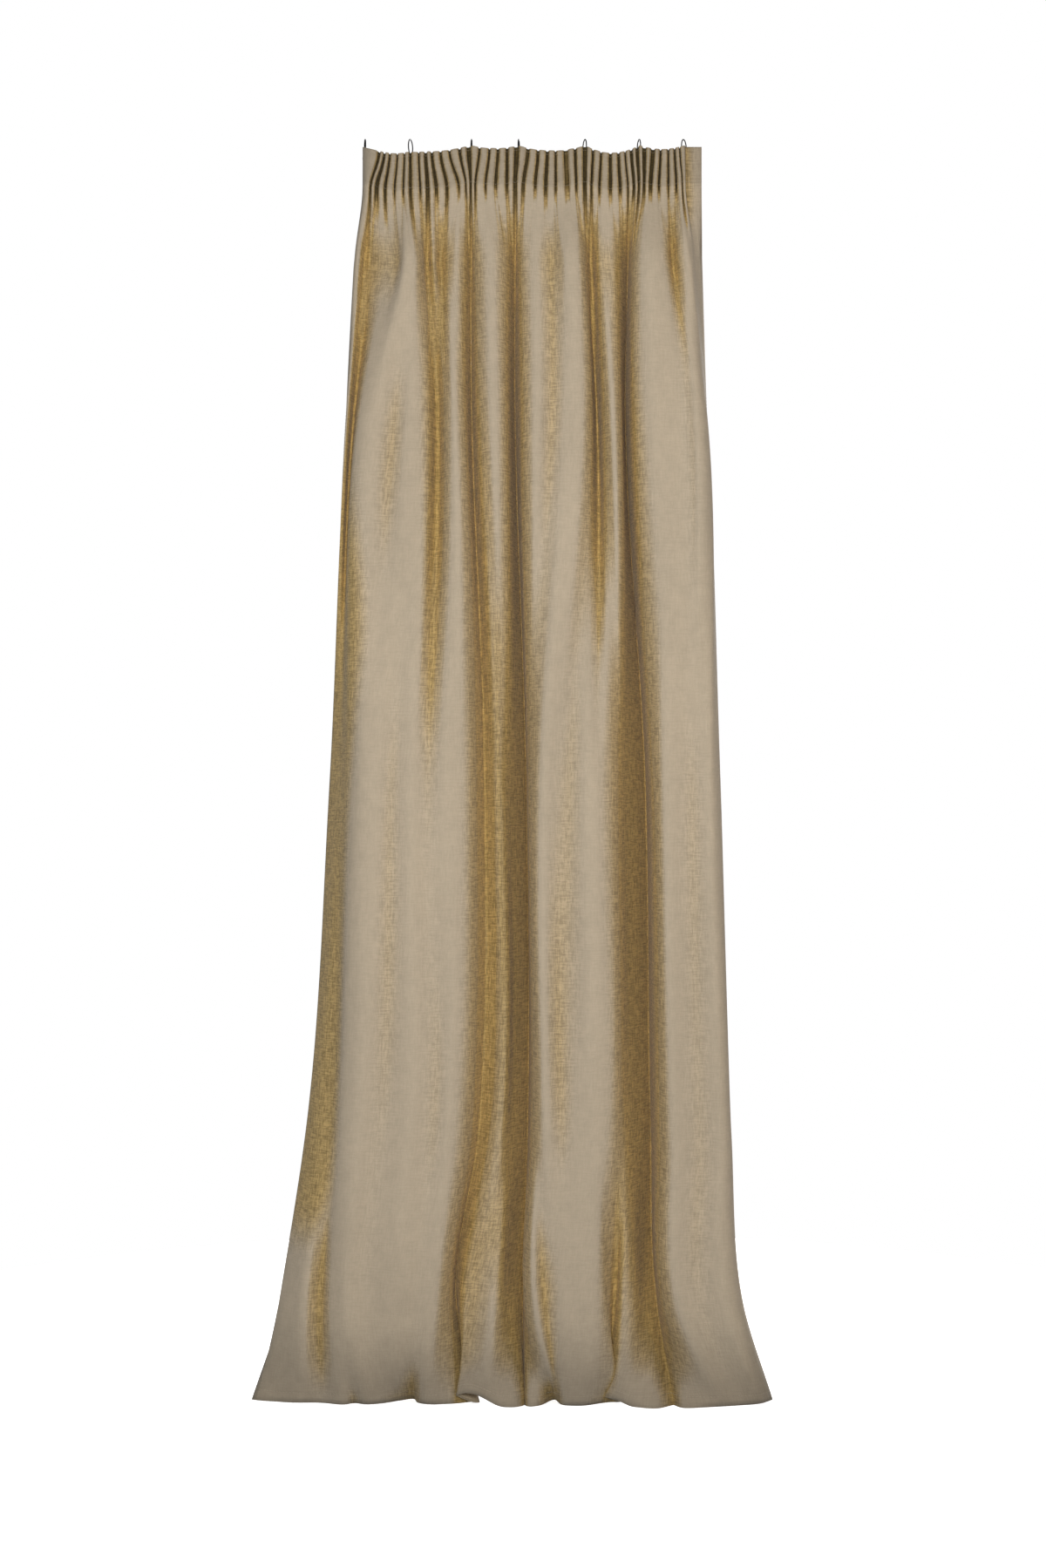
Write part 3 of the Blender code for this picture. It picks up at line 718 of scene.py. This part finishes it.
def wire_material(name):
    """Black powder-coated wire with a fine orange-peel surface and rubbed patches."""
    n = Nodes(name)
    place = n.add("ShaderNodeTexCoord").outputs["Object"]
    peel = n.noise(place, (900, 900, 900), 2.0, 0.5)
    wear = n.noise(place, (120, 120, 120), 3.0, 0.65)
    rubbed = n.ramp(wear, 0.58, 0.74)
    colour = n.mix(rubbed, (0.003, 0.003, 0.003, 1), (0.012, 0.012, 0.011, 1))
    bump = n.add("ShaderNodeBump", {"Strength": 0.25, "Distance": 0.0002, "Height": peel})
    shader = n.add(
        "ShaderNodeBsdfPrincipled",
        {
            "Base Color": colour,
            "Roughness": n.ramp(wear, 0.3, 0.75, 0.62, 0.45),
            "Metallic": 0.0,
            "Specular IOR Level": 0.12,
            "Normal": bump.outputs[0],
            "Coat Weight": 0.15,
            "Coat Roughness": 0.3,
        },
    )
    n.tree.links.new(shader.outputs[0], n.out.inputs["Surface"])
    return n.material


def satin_material(name):
    """Blank care label: satin ribbon with fine lengthwise threads and folded-edge wear."""
    n = Nodes(name)
    place = n.add("ShaderNodeAttribute", attribute_name="cloth_place").outputs["Vector"]
    threads = n.noise(place, (90, 2600, 1), 1.5, 0.5)
    soil = n.noise(place, (60, 60, 1), 3.0, 0.6)
    value = n.maths("MULTIPLY", n.ramp(threads, 0.3, 0.7, 0.90, 1.02), n.ramp(soil, 0.3, 0.7, 0.93, 1.0))
    tint = n.add("ShaderNodeCombineColor", {0: value, 1: value, 2: value}).outputs[0]
    bump = n.add("ShaderNodeBump", {"Strength": 0.35, "Distance": 0.0002, "Height": threads})
    shader = n.add(
        "ShaderNodeBsdfPrincipled",
        {
            "Base Color": n.mix(1.0, (0.86, 0.85, 0.81, 1), tint, "MULTIPLY"),
            "Roughness": n.ramp(threads, 0.3, 0.7, 0.42, 0.3),
            "Normal": bump.outputs[0],
            "Sheen Weight": 0.2,
        },
    )
    n.tree.links.new(shader.outputs[0], n.out.inputs["Surface"])
    return n.material


def floor_material(name, colour):
    n = Nodes(name)
    place = n.add("ShaderNodeTexCoord").outputs["Object"]
    shade = n.noise(place, (3, 3, 3), 2.0, 0.5)
    tint = n.mix(n.ramp(shade, 0.3, 0.7), (*[c * 0.99 for c in colour], 1), (*colour, 1))
    shader = n.add(
        "ShaderNodeBsdfPrincipled",
        {"Base Color": tint, "Roughness": 0.95, "Emission Color": tint, "Emission Strength": 0.72},
    )
    n.tree.links.new(shader.outputs[0], n.out.inputs["Surface"])
    return n.material


# ---------------------------------------------------------------- pieces


def enclosure(rows, side):
    """How far each point is shut in by the cloth round it, on one side: -1 faces the room."""
    shares = []
    for row in rows:
        plan = row[:, :2]
        normal = row_normals(row) * side
        apart = plan[None, :, :] - plan[:, None, :]
        out = np.sum(apart * normal[:, None, :], axis=2)
        along = apart[:, :, 0] * normal[:, None, 1] - apart[:, :, 1] * normal[:, None, 0]
        near = (np.abs(along) < REACH) & (out > SKIM)
        angle = np.where(near, np.arctan2(out, np.maximum(np.abs(along), 0.4 * MM)), 0)
        left = np.sin(np.where(along < 0.5 * MM, angle, 0).max(axis=1))
        right = np.sin(np.where(along > -0.5 * MM, angle, 0).max(axis=1))
        shares.append((left + right) / 2)
    return np.array(shares)


def soften(values, rounds=2):
    """Averages neighbours down the grid, and a little across it."""
    for _ in range(rounds):
        wide = np.pad(values, 1, mode="edge")
        across = wide[1:-1, :-2] + wide[1:-1, 2:]
        down = wide[:-2, 1:-1] + wide[2:, 1:-1]
        values = 0.04 * across + 0.20 * down + 0.52 * wide[1:-1, 1:-1]
    return values


def edge_shade(rows):
    """A band of painted fold shade down the left edge, put there to match the photograph."""
    steps = np.linalg.norm(np.diff(rows[:, :, :2], axis=1), axis=2)
    from_edge = np.pad(np.cumsum(steps, axis=1), ((0, 0), (1, 0)))
    drop = -rows[:, :, 2]
    share = smooth((drop - 0.40) / 0.45) * (1 - smooth((drop - 2.05) / 0.25))
    return EDGE_SHADE * share * (1 - smooth((from_edge - EDGE_BAND / 2) / (EDGE_BAND / 2)))


def store_fold_shade(mesh, rows):
    """Keeps how deep in a fold each point lies, seen from the side its surface faces, as the fold_shade
    the linen paints its shade from.
    """
    rows = np.array(rows)
    normals = np.array([row_normals(row) for row in rows]).reshape(-1, 2)
    middle = rows.reshape(-1, 3)
    count = len(mesh.vertices)
    points = np.zeros(count * 3, np.float32)
    mesh.vertices.foreach_get("co", points)
    points = points.reshape(-1, 3)
    sides = {side: soften(enclosure(rows, side)).reshape(-1) for side in (-1, 1)}
    sides[1] *= BACK_SHADE
    sides[-1] = np.maximum(sides[-1], edge_shade(rows).reshape(-1))
    shade = np.zeros(count)
    for first in range(0, count, len(middle)):
        part = points[first : first + len(middle)]
        n = len(part)
        out = np.sum((part[:, :2] - middle[:n, :2]) * normals[:n], axis=1)
        shade[first : first + n] = np.where(out > 0, sides[1][:n], sides[-1][:n])
    layer = mesh.attributes.new("fold_shade", "FLOAT", "POINT")
    layer.data.foreach_set("value", shade.astype(np.float32))


def places_of(depths):
    return [[(a, d) for a in ALONG] for d in depths]


def build_cloth(material):
    rows = grid_rows()
    mesh = grid_mesh("linen_cloth_panel", rows, places_of(row_depths()))
    obj = new_object("linen_cloth_panel", mesh)
    obj.data.materials.append(material)
    thicken(obj, CLOTH_THICK)
    store_fold_shade(obj.data, rows)
    return obj, rows


def build_hem(name, rows, columns, along, depths, material):
    """A turned-in hem: the cloth's edge doubled behind it."""
    back = offset_rows(rows, CLOTH_THICK + HEM_GAP)
    back = [row[columns] for row in back]
    places = [[(along[c] + 0.4, d + 0.3) for c in columns] for d in depths]
    obj = new_object(name, grid_mesh(name, back, places))
    obj.data.materials.append(material)
    thicken(obj, HEM_THICK)
    store_fold_shade(obj.data, back)
    return obj


def dashes(points, stitch=3.2 * MM, space=1.2 * MM):
    """Short pieces of a path, as sewn stitches."""
    points = np.asarray(points)
    length = lengths_along(points)
    starts = np.arange(0, length[-1] - stitch, stitch + space)
    pieces = []
    for start in starts:
        at = np.array([start, start + stitch / 2, start + stitch])
        pieces.append(np.column_stack([np.interp(at, length, points[:, k]) for k in range(3)]))
    return pieces


def build_stage(floor_z):
    place = (0, 0, floor_z)
    bpy.ops.mesh.primitive_circle_add(radius=FLOOR_RADIUS, vertices=96, fill_type="NGON", location=place)
    floor = bpy.context.object
    floor.name = "studio_floor"
    floor.visible_diffuse = False
    floor.data.materials.append(floor_material("floor_pale", FLOOR_COLOUR))


def add_area(name, location, target, size, power, colour=(1, 1, 1)):
    data = bpy.data.lights.new(name, "AREA")
    data.shape = "DISK"
    data.size = size
    data.energy = power
    data.color = colour
    light = bpy.data.objects.new(name, data)
    light.location = location
    aim = Vector(target) - Vector(location)
    light.rotation_euler = aim.to_track_quat("-Z", "Y").to_euler()
    light.visible_camera = False
    bpy.context.scene.collection.objects.link(light)


def build_lights():
    add_area("key", (-0.15, -3.4, -0.80), (0, 0, -1.0), 1.3, 85)
    add_area("back_soft", (1.2, 4.2, 0.2), (0, 0, -1.3), 2.5, 230)
    add_area("left_soft", (-3.4, -2.4, -0.6), (0, 0, -1.2), 1.6, 6, (0.82, 0.93, 1.0))
    add_area("right_soft", (3.4, -2.4, -0.6), (0, 0, -1.2), 1.6, 22, (1.0, 0.84, 0.66))
    world = bpy.data.worlds.new("studio_air")
    bpy.context.scene.world = world
    world.use_nodes = True
    tree = world.node_tree
    tree.nodes.clear()
    air = tree.nodes.new("ShaderNodeBackground")
    air.inputs[0].default_value = (1, 1, 1, 1)
    air.inputs[1].default_value = 0.30
    seen = tree.nodes.new("ShaderNodeBackground")
    seen.inputs[0].default_value = (1, 1, 1, 1)
    seen.inputs[1].default_value = 1.0
    rays = tree.nodes.new("ShaderNodeLightPath")
    mix = tree.nodes.new("ShaderNodeMixShader")
    out = tree.nodes.new("ShaderNodeOutputWorld")
    tree.links.new(rays.outputs["Is Camera Ray"], mix.inputs[0])
    tree.links.new(air.outputs[0], mix.inputs[1])
    tree.links.new(seen.outputs[0], mix.inputs[2])
    tree.links.new(mix.outputs[0], out.inputs[0])
    bpy.context.scene.view_settings.view_transform = "Standard"


def build_camera():
    data = bpy.data.cameras.new("photo_view")
    data.sensor_width = SENSOR_WIDTH
    data.lens = CAMERA_LENS
    data.clip_end = 60
    camera = bpy.data.objects.new("photo_view", data)
    camera.location = CAMERA_PLACE
    camera.rotation_euler = (math.radians(90), 0, 0)
    bpy.context.scene.collection.objects.link(camera)
    bpy.context.scene.camera = camera


def pocket_rows(row):
    """Lines along a pocket strip, top to bottom: it bulges over each hook and dips at each slit."""
    depth = POCKET_ROWS[row]
    hooked = {"upper": [LOW_RING], "lower": []}
    used = hooked.get(row, [i for i in range(len(RING_X)) if i != LOW_RING])
    flat = BACK_CREST_Y + CLOTH_THICK / 2 + GAP + TAPE_THICK + GAP
    out = 2 * HOOK_WIRE_R + GAP
    x = np.linspace(HEADING_LEFT, HEADING_RIGHT, 380)
    y = np.full_like(x, flat)
    slits = slit_lines(depth)
    for left, right in zip(slits, slits[1:]):
        t = np.clip((x - left) / (right - left), 0, 1)
        y += 0.35 * MM * np.sin(np.pi * t) ** 2
    for i in used:
        slope = smooth((np.abs(x - RING_X[i]) - BULGE_FLAT) / BULGE_SLOPE)
        y = np.maximum(y, flat + out * (1 - slope))
    y += POCKET_THICK / 2
    z = heading_z(x) - depth
    shares = (1, 0.6, 0, -0.6, -1)
    crown = (0, 0.3, 0.4, 0.3, 0)
    rows = []
    for side, rise in zip(shares, crown):
        rows.append(np.column_stack([x, y + rise * MM * 0.5, z + side * POCKET_HEIGHT / 2]))
    places = [[(v, depth - s * POCKET_HEIGHT / 2) for v in x] for s in shares]
    return rows, places


def cord_path(depth):
    y = BACK_CREST_Y + CLOTH_THICK / 2 + 2 * GAP + TAPE_THICK + CORD_R
    xs = np.linspace(HEADING_LEFT + 2 * MM, HEADING_RIGHT - 2 * MM, 150)
    return np.column_stack([xs, np.full_like(xs, y), heading_z(xs) - depth])


def knot_path(centre, size):
    """A small overhand knot as a closed winding round the cord's end."""
    t = np.linspace(0, 2 * math.pi, 30)
    x = centre[0] + size * (np.sin(t) + 0.5 * np.sin(2 * t)) * 0.6
    y = centre[1] + size * 0.35 * (1 + np.sin(3 * t)) * 0.5
    z = centre[2] + size * (np.cos(t) - 0.5 * np.cos(2 * t)) * 0.7
    return np.column_stack([x, y, z])


def finish_soft(obj, slot, *nodes):
    """What every soft piece of the panel needs: its body and its own mesh, with the CAD parts it stands
    for hidden.
    """
    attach(obj, "panel")
    if nodes:
        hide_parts(*nodes)
    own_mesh(obj)


def build_panel():
    linen = linen_material("linen_weave")
    cloth, rows = build_cloth(linen)
    depths = row_depths()
    finish_soft(cloth, "linen_cloth", "curtain_panel")
    left = np.where(ALONG <= SIDE_HEM + 2 * MM)[0]
    right = np.where(ALONG >= FLAT_WIDTH - SIDE_HEM - 2 * MM)[0]
    extras = []
    hem_rows = [i for i, d in enumerate(depths) if d >= depths[-1] - BOTTOM_HEM]
    below = [i for i, d in enumerate(depths) if d > HEADING_DEPTH]
    body_rows = [rows[i] for i in below]
    body_depths = [depths[i] for i in below]
    extras.append(build_hem("side_hem_left", body_rows, left, ALONG, body_depths, linen))
    extras.append(build_hem("side_hem_right", body_rows, right, ALONG, body_depths, linen))
    bottom = [rows[i] for i in hem_rows]
    middle = np.arange(left[-1], right[0] + 1)
    extras.append(build_hem("bottom_hem", bottom, middle, ALONG, [depths[i] for i in hem_rows], linen))
    for piece in extras:
        finish_soft(piece, "linen_cloth")
    return cloth, rows, extras


def build_heading():
    """The pleated tape, with its pocket strips and cords."""
    tape = tape_material("tape_weave", TAPE_COLOUR, 1500)
    pocket = tape_material("pocket_weave", POCKET_COLOUR, 900)
    cord = cord_material("cord_twist", CORD_COLOUR)
    depths = np.linspace(TAPE_TOP, TAPE_BOTTOM, 9)
    lines = []
    for depth in depths:
        plan = heading_plan(depth)
        lines.append(np.column_stack([plan, heading_z(plan[:, 0]) - depth]))
    lines = offset_rows(lines, CLOTH_THICK / 2 + GAP + TAPE_THICK / 2)
    piece = new_object("pleated_tape", grid_mesh("pleated_tape", lines, places_of(depths)))
    piece.data.materials.append(tape)
    thicken(piece, TAPE_THICK)
    finish_soft(piece, "woven_tape", "heading_tape")
    extras = []
    for row in POCKET_ROWS:
        strip, places = pocket_rows(row)
        band = new_object(f"pocket_strip_{row}", grid_mesh(f"pocket_strip_{row}", strip, places))
        band.data.materials.append(pocket)
        thicken(band, POCKET_THICK)
        finish_soft(band, "tape_pocket_weave", f"pocket_band_{row}")
        extras.append(band)
    for number, depth in enumerate(CORD_ROWS, 1):
        path = cord_path(depth)
        ends = [knot_path(path[k], KNOT_SIZE) for k in (2, -3)]
        made = tube(f"twisted_cord_{number}", [path] + ends, CORD_R, 8)
        made.data.materials.append(cord)
        finish_soft(made, "gather_cord", f"gather_cord_{number}")
        extras.append(made)
    return piece, extras


def build_label(rows, depths):
    along = np.linspace(*LABEL_ALONG, 8)
    rises = np.linspace(*LABEL_RISE[::-1], 9)
    lines = []
    for rise in rises:
        row = row_at(rows, depths, depths[-1] - rise)
        row = offset_rows([row], CLOTH_THICK + 1.0 * MM + LABEL_THICK)[0]
        lines.append(np.column_stack([np.interp(along, ALONG, row[:, k]) for k in range(3)]))
    places = [[(a, r) for a in along] for r in rises]
    label = new_object("blank_label", grid_mesh("blank_label", lines, places))
    label.data.materials.append(satin_material("label_weave"))
    thicken(label, LABEL_THICK)
    finish_soft(label, "label_satin", "care_label")
    return label


def row_at(rows, depths, depth):
    """The cloth's points at a depth between two of its rows."""
    k = int(np.searchsorted(depths, depth, side="right")) - 1
    share = (depth - depths[k]) / (depths[k + 1] - depths[k])
    return rows[k] * (1 - share) + rows[k + 1] * share


def build_stitching(rows, depths):
    """Lines of thread: two along the heading, one by each side hem and one by the bottom."""
    thread = cord_material("sewing_thread", THREAD_COLOUR)
    lines = []
    front = -(CLOTH_THICK / 2 + 0.1 * MM)
    for depth in (TAPE_TOP + 2 * MM, TAPE_BOTTOM - 1.5 * MM):
        plan = heading_plan(depth)
        row = np.column_stack([plan, heading_z(plan[:, 0]) - depth])
        lines += dashes(offset_rows([row], front)[0])
    front_rows = offset_rows(rows, front)
    for place in (SIDE_HEM - 2 * MM, FLAT_WIDTH - SIDE_HEM + 2 * MM):
        path = [[np.interp(place, ALONG, row[:, k]) for k in range(3)] for row in front_rows]
        lines += dashes(path, HEM_STITCH, HEM_SPACE)
    bottom = row_at(front_rows, depths, depths[-1] - BOTTOM_HEM + 2 * MM)
    lines += dashes(bottom, HEM_STITCH, HEM_SPACE)
    made = tube("stitch_lines", lines, THREAD_R, 4)
    made.data.materials.append(thread)
    finish_soft(made, "linen_cloth")
    return made


def finish_hardware(frame):
    wire = wire_material("black_wire_coat")
    for name, obj in frame["nodes"].items():
        if name.startswith(("ring_", "hook_")):
            for slot in obj.material_slots:
                slot.material = wire


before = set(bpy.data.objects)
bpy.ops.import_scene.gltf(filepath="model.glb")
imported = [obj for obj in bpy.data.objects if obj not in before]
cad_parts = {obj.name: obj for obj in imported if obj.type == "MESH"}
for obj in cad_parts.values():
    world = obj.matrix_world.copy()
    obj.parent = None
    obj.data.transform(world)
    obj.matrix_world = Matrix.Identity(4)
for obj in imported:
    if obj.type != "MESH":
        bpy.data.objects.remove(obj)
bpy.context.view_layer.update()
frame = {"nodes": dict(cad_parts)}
build_camera()
build_lights()
build_stage(HEM_Z - 1 * MM)
cloth, rows, hems = build_panel()
tape, on_tape = build_heading()
label = build_label(rows, row_depths())
stitches = build_stitching(rows, row_depths())
finish_hardware(frame)
